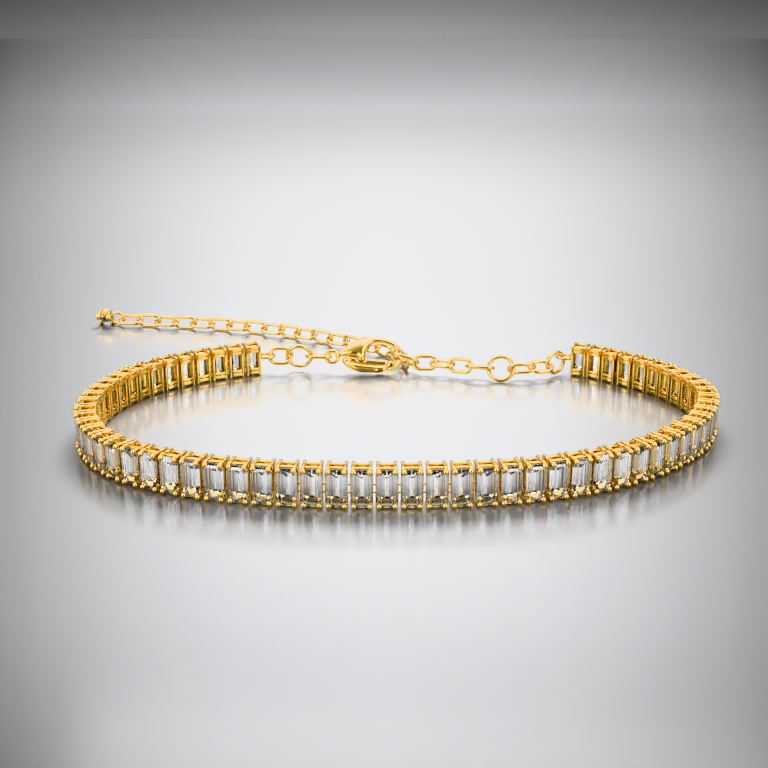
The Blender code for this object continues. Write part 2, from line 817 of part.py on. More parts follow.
def solve_plan():
    """The plan whose back opening is as wide as the links and the clasp that close it."""
    left = sum(2 * link_half(row[1]) for row in LEFT_LINKS) + link_half(END_LOOP_HOLE)
    right = sum(2 * link_half(row[1]) for row in RIGHT_LINKS) + 2 * link_half(CLAW_LINK[1])
    right += link_half(END_LOOP_HOLE)
    wanted = left + clasp_span() + right * (1 - RIGHT_SLACK)
    row = 2 * SETTINGS_IN_HALF * pitch()
    low, high = row / 8, row
    for _ in range(SEARCH_STEPS):
        half_width = (low + high) / 2
        plan = Plan(half_width)
        if plan.reach[-1] < row or (row_end(plan, 1) - row_end(plan, -1)).length < wanted:
            low = half_width
        else:
            high = half_width
    return Plan(high)


def build_drop(start, ahead, gold):
    """The end drop: its bail hangs in the last link, and the collet lies beyond it."""
    up = Vector((0, 0, 1))
    level = Vector((ahead.y, -ahead.x, 0))
    if level.y > 0:
        level.negate()
    bail_centre = start + ahead * link_half(BAIL_HOLE)
    bail_centre.z = BAIL_HOLE / 2 + BAIL_WIRE + REST_CLEARANCE
    bm = bmesh.new()
    place = Matrix.Translation(bail_centre) @ leaning(ahead, TAIL_LEANS[2])
    link_into(bm, BAIL_HOLE, BAIL_HOLE, BAIL_WIRE, matrix=place)
    bail = finish_mesh(bm, "bail")
    half = DROP_SIZE / 2
    face = level * math.cos(DROP_TILT) + up * math.sin(DROP_TILT)
    rise = ahead.cross(face)
    if rise.z < 0:
        rise.negate()
    bm = bmesh.new()
    rings = []
    for depth, share in DROP_RINGS:
        ring = []
        for sx, sz in ((1, 1), (-1, 1), (-1, -1), (1, -1)):
            pair = [(1.0, DROP_CORNER_SHARE), (DROP_CORNER_SHARE, 1.0)]
            for x, z in pair if sx * sz > 0 else pair[::-1]:
                ring.append(face * depth + (ahead * sx * x + rise * sz * z) * half * share)
        rings.append(ring)
    loft(bm, rings)
    collet = finish_mesh(bm, "collet")
    bm = bmesh.new()
    reach = half - DROP_BEAD * DROP_BEAD_SHARE
    for sx in (1, -1):
        for sz in (1, -1):
            bead_into(bm, (ahead * sx + rise * sz) * reach, DROP_BEAD, DROP_BEAD, face, sides=6)
    beads = finish_mesh(bm, "drop_beads")
    lowest = min(vert.co.z for mesh in (collet, beads) for vert in mesh.vertices)
    centre = bail_centre + ahead * (half + (BAIL_HOLE + BAIL_WIRE) / 2)
    centre.z = REST_CLEARANCE - lowest
    for mesh in (collet, beads):
        mesh.transform(Matrix.Translation(centre))
    mesh = combined("end_drop", collet, [("UNION", beads), ("UNION", bail)])
    return add_object("end_drop", mesh, gold)


def build():
    clear_scene()
    gold = make_material("polished_gold", GOLD, 0.12, 1.0)
    set_gold = make_material("stone_set_gold", PALE_STONE, 0.1, 0.6)
    plan = solve_plan()
    setting = setting_mesh()
    half_row("stone_row_right", 1, plan, setting, set_gold)
    half_row("stone_row_left", -1, plan, setting, set_gold)

    # Left chain: straight from the row's end loop to the clasp's eye
    left_loop, right_loop = row_end(plan, -1), row_end(plan, 1)
    across = (right_loop - left_loop).normalized()
    lengths = [link_half(END_LOOP_HOLE)] + [2 * link_half(row[1]) for row in LEFT_LINKS]
    rise = clasp_height() - end_loop_height()
    run = math.sqrt(sum(lengths) ** 2 - rise ** 2)
    eye_hang = left_loop + across * run + Vector((0, 0, rise))

    def left_route(share):
        return left_loop.lerp(eye_hang, share)

    points, _ = march(left_route, left_loop, lengths)
    for row, start, stop in zip(LEFT_LINKS, points[1:], points[2:]):
        name, inner_length, inner_width, wire, lean = row
        mesh = link_mesh(name, inner_length, inner_width, wire)
        placed_link(name, mesh, start, stop, lean, gold)

    # Clasp, its gate on the pivot, and the link in its claw
    frame = clasp_frame(eye_hang + across * link_half(EYE_HOLE), across)
    add_object("clasp_body", clasp_body_mesh(), gold, frame)
    pivot = pivot_point()
    gate = gate_mesh()
    gate.transform(Matrix.Translation((-pivot.x, -pivot.y, 0)))
    add_object("clasp_gate", gate, gold, frame @ Matrix.Translation((pivot.x, pivot.y, 0)))
    name, inner_length, inner_width, wire = CLAW_LINK
    claw_mesh = link_mesh(name, inner_length, inner_width, wire)
    hook = Matrix.Translation((hook_inside() - CLAW_LINK_PLAY, HOOK_ACROSS * CLASP_WIDTH, 0))
    droop = Matrix.Rotation(-CLAW_LINK_DROOP, 4, "Z")
    half_turn = Matrix.Rotation(math.pi / 2, 4, "X")
    claw = frame @ hook @ droop @ Matrix.Translation((inner_length / 2, 0, 0)) @ half_turn
    add_object(name, claw_mesh, gold, claw)

    # Right chain: slack, bowed to the front and down to the surface
    claw_hang = claw @ Vector((link_half(inner_length), 0, 0))
    lengths = [2 * link_half(row[1]) for row in RIGHT_LINKS] + [link_half(END_LOOP_HOLE)]
    rest = max(resting_height(*row[2:]) for row in RIGHT_LINKS)
    points = bowed_chain(claw_hang, right_loop, lengths, rest)
    for row, start, stop in zip(RIGHT_LINKS, points, points[1:]):
        name, inner_length, inner_width, wire, lean = row
        mesh = link_mesh(name, inner_length, inner_width, wire)
        placed_link(name, mesh, start, stop, lean, gold)

    # Extender tail from the claw link's far side, down to the surface and away to the left
    name, inner_length, inner_width, wire = CLAW_LINK
    sides = [claw @ Vector((TAIL_HANG, side * (inner_width + wire) / 2, 0)) for side in (-1, 1)]
    bar = max(sides, key=lambda point: point.y)
    rest = TAIL_LINK_WIDTH / 2 + TAIL_WIRE + REST_CLEARANCE
    route_points = []
    for index, (x, y) in enumerate(TAIL_ROUTE):
        height = bar.z + (rest - bar.z) * min(1, index / 2)
        route_points.append(Vector((bar.x + x, bar.y + y, height)))
    smooth = smooth_points(route_points, False, SAMPLES_PER_SPAN)
    start = bar - (smooth[SAMPLES_PER_SPAN] - bar).normalized() * (wire + LINK_PLAY) / 2

    def tail_route(share):
        place = min(max(share, 0), 1) * (len(smooth) - 1)
        k = min(int(place), len(smooth) - 2)
        return smooth[k].lerp(smooth[k + 1], place - k)

    tail_length = 2 * link_half(TAIL_LINK_LENGTH)
    points, _ = march(tail_route, start, [tail_length] * TAIL_LINKS)
    mesh = link_mesh("tail_link", TAIL_LINK_LENGTH, TAIL_LINK_WIDTH, TAIL_WIRE)
    for index in range(TAIL_LINKS):
        lean = TAIL_LEANS[index] if index < 2 else TAIL_LEANS[2 + index % 2]
        placed_link(f"tail_link_{index + 1:02d}", mesh, points[index], points[index + 1], lean, gold)
    ahead = points[-1] - points[-2]
    ahead.z = 0
    build_drop(points[-1], ahead.normalized(), gold)


def centre_on_base():
    """Shifts the model so that its origin is the centre of its box's bottom."""
    bpy.context.view_layer.update()
    corners = [
        obj.matrix_world @ vert.co for obj in bpy.data.objects for vert in obj.data.vertices
    ]
    middle_x = (min(c.x for c in corners) + max(c.x for c in corners)) / 2
    middle_y = (min(c.y for c in corners) + max(c.y for c in corners)) / 2
    lowest = min(c.z for c in corners)
    shift = Matrix.Translation((-middle_x, -middle_y, -lowest))
    for obj in bpy.data.objects:
        obj.matrix_world = shift @ obj.matrix_world


build()
centre_on_base()
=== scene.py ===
import math

import bmesh
import bpy
import numpy as np
from mathutils import Matrix, Vector


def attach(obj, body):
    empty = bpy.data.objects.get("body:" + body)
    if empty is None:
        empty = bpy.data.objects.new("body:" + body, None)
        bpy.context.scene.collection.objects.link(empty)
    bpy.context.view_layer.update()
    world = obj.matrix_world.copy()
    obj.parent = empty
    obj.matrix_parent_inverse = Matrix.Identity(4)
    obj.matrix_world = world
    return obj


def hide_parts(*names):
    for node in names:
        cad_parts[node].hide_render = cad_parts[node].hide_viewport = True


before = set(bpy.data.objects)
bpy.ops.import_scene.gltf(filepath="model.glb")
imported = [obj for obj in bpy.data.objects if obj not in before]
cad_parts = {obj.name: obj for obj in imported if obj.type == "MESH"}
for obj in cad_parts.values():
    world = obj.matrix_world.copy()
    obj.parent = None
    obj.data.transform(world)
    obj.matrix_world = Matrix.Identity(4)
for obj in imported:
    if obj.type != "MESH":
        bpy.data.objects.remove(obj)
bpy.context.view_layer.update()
mm = 0.001
print("solids loaded:", len(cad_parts))


# small helpers: pieces are modelled in millimetres and scaled when they are finished

sharpFrom = {"facet": 1.0, "casting": 40.0, "setting": 50.0, "link": 60.0}  # degrees


def newObject(name, data):
    made = bpy.data.objects.new(name, data)
    bpy.context.scene.collection.objects.link(made)
    return made


def finishMesh(bm, name, sharpAngle):
    bmesh.ops.recalc_face_normals(bm, faces=bm.faces)
    bmesh.ops.scale(bm, vec=(mm, mm, mm), verts=bm.verts)
    mesh = bpy.data.meshes.new(name)
    bm.to_mesh(mesh)
    bm.free()
    mesh.shade_smooth()
    mesh.set_sharp_from_angle(angle=math.radians(sharpAngle))
    return mesh


def addPiece(name, bm, sharpAngle, material, stands=(), body="bracelet"):
    mesh = finishMesh(bm, name, sharpAngle)
    mesh.materials.append(material)
    piece = newObject(name, mesh)
    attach(piece, body)
    if stands:
        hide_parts(*stands)


def meshOf(name, build):
    # a part still in millimetres, made by a function that fills an empty bmesh
    bm = bmesh.new()
    build(bm)
    bmesh.ops.recalc_face_normals(bm, faces=bm.faces)
    mesh = bpy.data.meshes.new(name)
    bm.to_mesh(mesh)
    bm.free()
    return mesh


def addCopies(bm, part, matrices):
    for matrix in matrices:
        copy = part.copy()
        copy.transform(matrix)
        bm.from_mesh(copy)
        bpy.data.meshes.remove(copy)


def only(kind, items):
    return [item for item in items if isinstance(item, kind)]


def axesAt(centre, x, y, z):
    # the matrix that lays a part's axes along three directions
    return Matrix.Translation(centre) @ Matrix((x, y, z)).transposed().to_4x4()


def leanedFrame(centre, heading, lean):
    # X level along the heading, and Y across it, raised by the lean; both in degrees
    heading, lean = math.radians(heading), math.radians(lean)
    along = Vector((math.cos(heading), math.sin(heading), 0))
    level = Vector((-along.y, along.x, 0))
    across = level * math.cos(lean) + Vector((0, 0, math.sin(lean)))
    return axesAt(centre, along, across, along.cross(across))


def addBar(bm, start, end, radius, sides=8):
    # a round rod from one point to another
    start, end = Vector(start), Vector(end)
    along = (end - start).normalized()
    side = along.cross(Vector((0, 0, 1))).normalized()
    bmesh.ops.create_cone(
        bm, cap_ends=True, segments=sides, radius1=radius, radius2=radius,
        depth=(end - start).length,
        matrix=axesAt((start + end) / 2, side, along.cross(side), along))


def addBlock(bm, low, high, ease):
    # a box from one corner to the other, with its edges eased
    low, high = Vector(low), Vector(high)
    place = Matrix.Translation((low + high) / 2) @ Matrix.Diagonal((*(high - low), 1))
    made = bmesh.ops.create_cube(bm, size=1.0, matrix=place)
    edges = list({edge for vert in made["verts"] for edge in vert.link_edges})
    bmesh.ops.bevel(
        bm, geom=edges, offset=ease, offset_type="OFFSET", affect="EDGES",
        segments=2, profile=0.5, material=-1)


def addBead(bm, centre, radius, around=12, rings=8):
    place = Matrix.Translation(centre) @ Matrix.Rotation(math.pi / 2, 4, "X")
    bmesh.ops.create_uvsphere(bm, u_segments=around, v_segments=rings, radius=radius, matrix=place)


def addLink(bm, length, width, wire, matrix=Matrix.Identity(4), around=10, turns=12):
    # in an empty bmesh, one wire circle is spun round both ends and drawn straight between them
    radius = (width + wire) / 2
    straight = max((length - width) / 2, 0)
    place = Matrix.Translation((straight, -radius, 0)) @ Matrix.Rotation(math.pi / 2, 4, "Y")
    bmesh.ops.create_circle(bm, cap_ends=False, segments=around, radius=wire / 2, matrix=place)
    last = list(bm.edges)
    for side in (1, -1):
        spun = bmesh.ops.spin(
            bm, geom=last + list({vert for edge in last for vert in edge.verts}),
            cent=(side * straight, 0, 0), axis=(0, 0, 1), angle=math.pi, steps=turns,
            use_merge=False)
        last = only(bmesh.types.BMEdge, spun["geom_last"])
        if straight > 0:
            drawn = bmesh.ops.extrude_edge_only(bm, edges=last)
            verts = only(bmesh.types.BMVert, drawn["geom"])
            bmesh.ops.translate(bm, vec=(-2 * side * straight, 0, 0), verts=verts)
            last = [edge for edge in only(bmesh.types.BMEdge, drawn["geom"])
                    if all(vert in verts for vert in edge.verts)]
    bmesh.ops.remove_doubles(bm, verts=bm.verts, dist=0.001)
    bmesh.ops.transform(bm, matrix=matrix, verts=bm.verts)


# small helpers for nodes

def feed(tree, node, inputs):
    # an input that is given a socket is linked, and any other is set
    for key, value in inputs.items():
        if isinstance(value, bpy.types.NodeSocket):
            tree.links.new(value, node.inputs[key])
        else:
            node.inputs[key].default_value = value


def addNode(tree, kind, inputs, **settings):
    node = tree.nodes.new(kind)
    for key, value in settings.items():
        setattr(node, key, value)
    feed(tree, node, inputs)
    return node


def mathOf(tree, operation, *values, clamp=False):
    node = addNode(tree, "ShaderNodeMath", dict(enumerate(values)), operation=operation,
                   use_clamp=clamp)
    return node.outputs["Value"]


def mappedRange(tree, value, source, target, kind="SMOOTHSTEP"):
    ends = {"From Min": source[0], "From Max": source[1], "To Min": target[0], "To Max": target[1]}
    node = addNode(tree, "ShaderNodeMapRange", {"Value": value, **ends}, interpolation_type=kind)
    return node.outputs["Result"]


def colourMix(tree, kind, factor, one, two):
    node = addNode(tree, "ShaderNodeMix", {}, data_type="RGBA", blend_type=kind)
    feed(tree, node, {"Factor": factor, "A": one, "B": two})
    return node.outputs["Result"]


def grey(tone):
    return (tone, tone, tone, 1.0)


def toneCurve(tree, label, value, stops):
    # a colour ramp that turns a value from 0 to the last stop into a grey tone
    span = stops[-1][0]
    share = mathOf(tree, "DIVIDE", value, span, clamp=True)
    ramp = addNode(tree, "ShaderNodeValToRGB", {"Fac": share}, label=label)
    ramp.color_ramp.interpolation = "B_SPLINE"
    elements = ramp.color_ramp.elements
    for index, (at, tone) in enumerate(stops):
        element = elements[index] if index < 2 else elements.new(at / span)
        element.position = at / span
        element.color = grey(tone)
    return ramp.outputs["Color"]


# materials

polish = {
    "softDetail": 3.0, "softRoughness": 0.55, "fineDetail": 5.0, "fineDistortion": 0.6,
    "fineStretch": (1.0, 1.0, 0.35), "patchRange": (0.3, 0.7),
}
lacquer = {"ior": 2.2, "roughness": 0.06}  # the clear coat over the gold


def polishGroup():
    # polishing marks: soft patches, and a fine height that a bump reads
    group = bpy.data.node_groups.new("polishMarks", "ShaderNodeTree")
    group.interface.new_socket("Coordinates", in_out="INPUT", socket_type="NodeSocketVector")
    for label, way in (("Patch Scale", "INPUT"), ("Mark Scale", "INPUT"), ("Patches", "OUTPUT"),
                       ("Marks", "OUTPUT")):
        group.interface.new_socket(label, in_out=way, socket_type="NodeSocketFloat")
    enter = group.nodes.new("NodeGroupInput").outputs
    leave = group.nodes.new("NodeGroupOutput")
    soft = addNode(group, "ShaderNodeTexNoise", {
        "Vector": enter["Coordinates"], "Scale": enter["Patch Scale"],
        "Detail": polish["softDetail"], "Roughness": polish["softRoughness"]})
    stretch = addNode(group, "ShaderNodeMapping", {
        "Vector": enter["Coordinates"], "Scale": polish["fineStretch"]})
    fine = addNode(group, "ShaderNodeTexNoise", {
        "Vector": stretch.outputs["Vector"], "Scale": enter["Mark Scale"],
        "Detail": polish["fineDetail"], "Distortion": polish["fineDistortion"]})
    feed(group, leave, {"Patches": soft.outputs["Fac"], "Marks": fine.outputs["Fac"]})
    return group


polishMarks = polishGroup()


def surface(name, look):
    # a shader whose colour and roughness drift with the polishing marks
    material = bpy.data.materials.new(name)
    material.use_nodes = True
    tree = material.node_tree
    place = addNode(tree, "ShaderNodeTexCoord", {})
    marks = addNode(tree, "ShaderNodeGroup", {}, node_tree=polishMarks)
    feed(tree, marks, {
        "Coordinates": place.outputs["Object"], "Patch Scale": look["patchScale"],
        "Mark Scale": look["markScale"]})
    patches = marks.outputs["Patches"]
    shader = tree.nodes["Principled BSDF"]
    feed(tree, shader, {
        "Base Color": colourMix(tree, "MIX", patches, look["deep"], look["bright"]),
        "Roughness": mappedRange(tree, patches, polish["patchRange"], look["roughness"], "LINEAR"),
        "Metallic": look["metallic"], "IOR": look["ior"],
        "Transmission Weight": look["transmission"], "Coat Weight": look["coat"],
        "Coat IOR": lacquer["ior"], "Coat Roughness": lacquer["roughness"]})
    if look["bump"]:
        bump = addNode(tree, "ShaderNodeBump", {
            "Strength": look["bump"], "Distance": look["bumpDepth"],
            "Height": marks.outputs["Marks"]})
        feed(tree, shader, {"Normal": bump.outputs["Normal"]})
    return material


goldLook = {
    "metallic": 1.0, "ior": 1.45, "transmission": 0.0, "coat": 0.4,
    "deep": (0.74, 0.45, 0.07, 1.0), "bright": (0.93, 0.64, 0.14, 1.0),
    "roughness": (0.05, 0.15), "patchScale": 900.0, "markScale": 5200.0,
    "bump": 0.12, "bumpDepth": 0.00002,
}
stoneLook = {
    "metallic": 0.0, "ior": 2.1, "transmission": 1.0, "coat": 0.0,
    "deep": (0.97, 0.97, 0.965, 1.0), "bright": (1.0, 1.0, 1.0, 1.0),
    "roughness": (0.0, 0.02), "patchScale": 500.0, "markScale": 4000.0, "bump": 0.0,
}
polishedGold = surface("polishedGold", goldLook)
settingGold = surface("settingGold", dict(goldLook, roughness=(0.04, 0.12), patchScale=1400.0))
clearStone = surface("clearStone", stoneLook)
print("materials made")


# the solids' own loop, which both rows follow, read by its length from the front centre

loop = {
    "halfWidth": 35.795648, "aspect": 0.70, "centre": (5.078819, -9.599411), "samples": 24,
    "pitch": 2.407, "settings": 31, "rowShift": -3.0,
    "girdleOut": 0.735,  # from the loop out to the stones' girdles
    "shares": (
        (0.000, -1.000), (0.184, -0.985), (0.378, -0.932), (0.576, -0.822), (0.763, -0.633),
        (0.924, -0.352), (1.000, 0.000), (0.930, 0.358), (0.800, 0.585), (0.667, 0.730),
        (0.360, 0.820), (0.000, 0.850), (-0.300, 0.840), (-0.500, 0.775), (-0.736, 0.607),
        (-0.915, 0.354), (-0.998, -0.004), (-0.975, -0.376), (-0.838, -0.693),
        (-0.616, -0.883), (-0.391, -0.967), (-0.185, -0.998),
    ),
}


def smoothPoints(points, closed, samples):
    # a Catmull-Rom curve through the points
    count = len(points)
    found = []
    for i in range(count if closed else count - 1):
        a, b, c, d = (points[(i + k) % count] if closed else points[min(max(i + k, 0), count - 1)]
                      for k in (-1, 0, 1, 2))
        for step in range(samples):
            t = step / samples
            found.append((2 * b + (c - a) * t + (2 * a - 5 * b + 4 * c - d) * t * t
                          + (3 * b - a - 3 * c + d) * t * t * t) / 2)
    if not closed:
        found.append(points[-1])
    return found


def loopLine():
    # the points of the loop, and how far along it each one lies
    half = loop["halfWidth"]
    points = [Vector((x * half, y * half * loop["aspect"], 0)) for x, y in loop["shares"]]
    found = smoothPoints(points, True, loop["samples"])
    found.append(found[0])
    reach = [0.0]
    for one, two in zip(found, found[1:]):
        reach.append(reach[-1] + (two - one).length)
    return found, reach


loopPoints, loopReach = loopLine()


def standAt(distance):
    # X along the row, Y outwards with the girdle at 0, Z up
    distance = (distance + loop["rowShift"]) % loopReach[-1]
    k = 0
    while loopReach[k + 1] < distance:
        k += 1
    start, end = loopPoints[k], loopPoints[k + 1]
    share = (distance - loopReach[k]) / (loopReach[k + 1] - loopReach[k])
    ahead = (end - start).normalized()
    outward = Vector((ahead.y, -ahead.x, 0))
    point = start.lerp(end, share) + outward * loop["girdleOut"] + Vector((*loop["centre"], 0))
    return axesAt(point, -ahead, outward, Vector((0, 0, 1)))


# stones: step cut, with cut corners

stone = {
    "width": 2.2, "height": 3.86, "corner": 0.34, "girdle": 0.09, "middle": 2.1,
    # each step's inset and depth, outwards and inwards from the girdle
    "crown": ((0.17, 0.15), (0.24, 0.13)),
    "pavilion": ((0.26, 0.42), (0.30, 0.42), (0.46, 0.40)),
}


def cutSteps(bm, face, way, steps):
    for inset, rise in steps:
        bmesh.ops.inset_region(bm, faces=[face], thickness=inset, depth=0.0, use_even_offset=True)
        bmesh.ops.translate(bm, vec=way * rise, verts=face.verts)


def addStone(bm):
    place = Matrix.Diagonal((stone["width"], stone["girdle"], stone["height"], 1))
    bmesh.ops.create_cube(bm, size=1.0, matrix=place)
    corners = [edge for edge in bm.edges
               if abs(edge.verts[0].co.y - edge.verts[1].co.y) > stone["girdle"] / 2]
    bmesh.ops.bevel(
        bm, geom=corners, offset=stone["corner"], offset_type="OFFSET", affect="EDGES",
        segments=1, profile=0.5, material=-1)
    for side, steps in ((1, stone["crown"]), (-1, stone["pavilion"])):
        bm.normal_update()
        face = max(bm.faces, key=lambda f: f.normal.y * side)
        cutSteps(bm, face, Vector((0, side, 0)), steps)
    bmesh.ops.translate(bm, vec=(0, 0, stone["middle"]), verts=bm.verts)


# settings: two side plates that end in beads, a gallery above and below, and the seats

setting = {
    "width": 2.04, "height": 4.2, "depth": 2.02, "plate": 0.37, "ease": 0.10,
    "front": -0.62, "arm": 0.62, "armFront": -0.02, "armRoot": 0.3,
    "bead": 0.29, "beadSide": 0.77, "beadForward": 0.20, "beadDrop": 0.33,
    "neck": 0.2, "neckBack": -0.3,
    "grip": 0.08,  # how far the cross pieces run into the side plates
    "seatDrop": 0.26, "seatHalf": 0.17, "seatSpan": (-0.44, -0.30), "seatEase": 0.03,
    "rail": 0.12, "railBack": -1.08, "railDrop": 0.40,
    # bars behind the stone: outer and inner drop from the setting's end, and thickness
    "bars": ((0.20, 0.62, 0.36), (0.70, 1.05, 0.68)), "barInset": 0.03, "barEase": 0.07,
    "tongue": 0.58, "tongueAt": (0.0, -0.82, 0.66), "tongueTaper": 0.8, "tongueDepth": 0.3,
    "tongueTilt": 0.15,
    "pin": 0.13, "pinRise": 0.42, "pinSink": -0.35, "pinBack": -1.0, "pinGrip": 0.1,
}


def addSidePlate(bm, side):
    # an upright behind the stone, with an arm, a neck and a bead above and below
    s = setting
    inner, outer = s["width"] / 2 - s["plate"], s["width"] / 2
    low, high = sorted((side * inner, side * outer))
    addBlock(bm, (low, -s["depth"], 0), (high, s["front"], s["height"]), s["ease"])
    for bottom, top in ((s["height"] - s["arm"], s["height"]), (0, s["arm"])):
        addBlock(bm, (low, s["front"] - s["armRoot"], bottom), (high, s["armFront"], top), s["ease"])
    for z in (s["height"] - s["beadDrop"], s["beadDrop"]):
        bead = Vector((side * s["beadSide"], s["beadForward"], z))
        addBead(bm, bead, s["bead"])
        addBar(bm, (side * (inner + outer) / 2, s["neckBack"], z), bead, s["neck"])


def addSetting(bm):
    s = setting
    middle = s["height"] / 2
    inside = s["width"] / 2 - s["plate"] + s["grip"]
    back = -s["depth"]
    for side in (1, -1):
        addSidePlate(bm, side)
    for end in (1, -1):
        # the seat under the stone's end, a rail across the gallery and the bars behind it
        seatZ = middle + end * (middle - s["seatDrop"])
        seatBack, seatFront = s["seatSpan"]
        addBlock(bm, (-inside, seatBack, seatZ - s["seatHalf"]),
                 (inside, seatFront, seatZ + s["seatHalf"]), s["seatEase"])
        railZ = middle + end * (middle - s["railDrop"])
        addBar(bm, (-inside, s["railBack"], railZ), (inside, s["railBack"], railZ), s["rail"])
        for outerDrop, innerDrop, thick in s["bars"]:
            low, high = sorted(middle + end * (middle - drop) for drop in (outerDrop, innerDrop))
            addBlock(bm, (-inside, back + s["barInset"], low), (inside, back + thick, high),
                     s["barEase"])
    # the tongue that holds the stone's lower end
    tongue = (Matrix.Translation(s["tongueAt"])
              @ Matrix.Rotation(math.pi / 2 + s["tongueTilt"], 4, "X")
              @ Matrix.Rotation(math.pi, 4, "Z"))
    bmesh.ops.create_cone(
        bm, cap_ends=True, segments=3, radius1=s["tongue"], radius2=s["tongue"] * s["tongueTaper"],
        depth=s["tongueDepth"], matrix=tongue)


def addPins(bm):
    # the pair of pins that joins one setting to the next
    s = setting
    half = (loop["pitch"] - s["width"]) / 2 + s["pinGrip"]
    for end in (1, -1):
        z = s["height"] / 2 + s["pinSink"] + end * s["pinRise"]
        addBar(bm, (-half, s["pinBack"], z), (half, s["pinBack"], z), s["pin"], sides=10)


endLoop = {"hole": 1.60, "wire": 0.42, "height": 2.31, "solder": 0.12}


def addEndLoop(bm, side):
    matrix = standAt(side * (loop["settings"] - 0.5) * loop["pitch"])
    offset = setting["width"] / 2 + endLoop["hole"] / 2 + endLoop["wire"] - endLoop["solder"]
    centre = matrix @ Vector((-side * offset, -setting["depth"] / 2, endLoop["height"]))
    addLink(bm, endLoop["hole"], endLoop["hole"], endLoop["wire"], Matrix.Translation(centre))


oneSetting = meshOf("setting", addSetting)
onePins = meshOf("pins", addPins)
oneStone = meshOf("stone", addStone)


def addRow(label, side):
    # one half of the row: its metal is one piece and its stones are another
    places = [standAt(side * (k + 0.5) * loop["pitch"]) for k in range(loop["settings"])]
    joints = [standAt(side * k * loop["pitch"]) for k in range(1, loop["settings"])]
    if side < 0:
        joints.append(standAt(0))
    solid = "stone_row_" + label.lower()
    metal = bmesh.new()
    addCopies(metal, oneSetting, places)
    addCopies(metal, onePins, joints)
    metal.from_mesh(meshOf("endLoop", lambda bm: addEndLoop(bm, side)))
    addPiece("settings" + label, metal, sharpFrom["setting"], settingGold,
             stands=(solid,))
    stones = bmesh.new()
    addCopies(stones, oneStone, places)
    addPiece("stones" + label, stones, sharpFrom["facet"], clearStone,
             stands=(solid,))


for label, side in (("Right", 1), ("Left", -1)):
    addRow(label, side)
print("settings and stones made")


# chain links, each in the place of its solid: length and width of the hole, and wire

chainLinks = {
    "left_link_1": (2.55, 1.70, 0.44), "left_link_2": (2.80, 2.80, 0.46),
    "left_link_3": (2.80, 1.30, 0.44), "claw_link": (3.20, 1.90, 0.44),
    "right_link_1": (2.60, 1.25, 0.44), "right_link_2": (2.60, 1.25, 0.44),
    "right_link_3": (2.60, 1.25, 0.44), "right_link_4": (3.10, 1.40, 0.44),
    "right_link_5": (2.80, 2.80, 0.46), "right_link_6": (3.00, 1.40, 0.44),
    "right_link_7": (2.80, 1.80, 0.44), "right_link_8": (2.60, 2.20, 0.44),
}
tailLinks = 18
tailLink = (3.10, 1.25, 0.44)
for index in range(tailLinks):
    chainLinks[f"tail_link_{index + 1:02d}"] = tailLink
stouter = 0.03  # the round wire is drawn a little stouter than the solid's


def solidFrame(node):
    # the middle of a flat link, with X along its longer side and Z square to it
    points = np.array([vert.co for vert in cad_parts[node].data.vertices]) / mm
    middle = points.mean(axis=0)
    axes = np.linalg.eigh(np.cov((points - middle).T))[1]
    spread = [np.ptp((points - middle) @ axes[:, k]) for k in range(3)]
    longer = max((1, 2), key=lambda k: spread[k])
    along, square = Vector(axes[:, longer]), Vector(axes[:, 0])
    return axesAt(Vector(middle), along, square.cross(along), square)


for node, (length, width, wire) in chainLinks.items():
    bm = bmesh.new()
    addLink(bm, length - stouter, width - stouter, wire + stouter, solidFrame(node),
            around=12, turns=14)
    first, *others = node.split("_")
    name = first + "".join(word.capitalize() for word in others)
    addPiece(name, bm, sharpFrom["link"], polishedGold, stands=(node,))
print("links made:", len(chainLinks))


# lobster clasp: X along it from the eye, Y across towards the spine, Z its thickness

fineBead = (20, 14)  # divisions around and from pole to pole

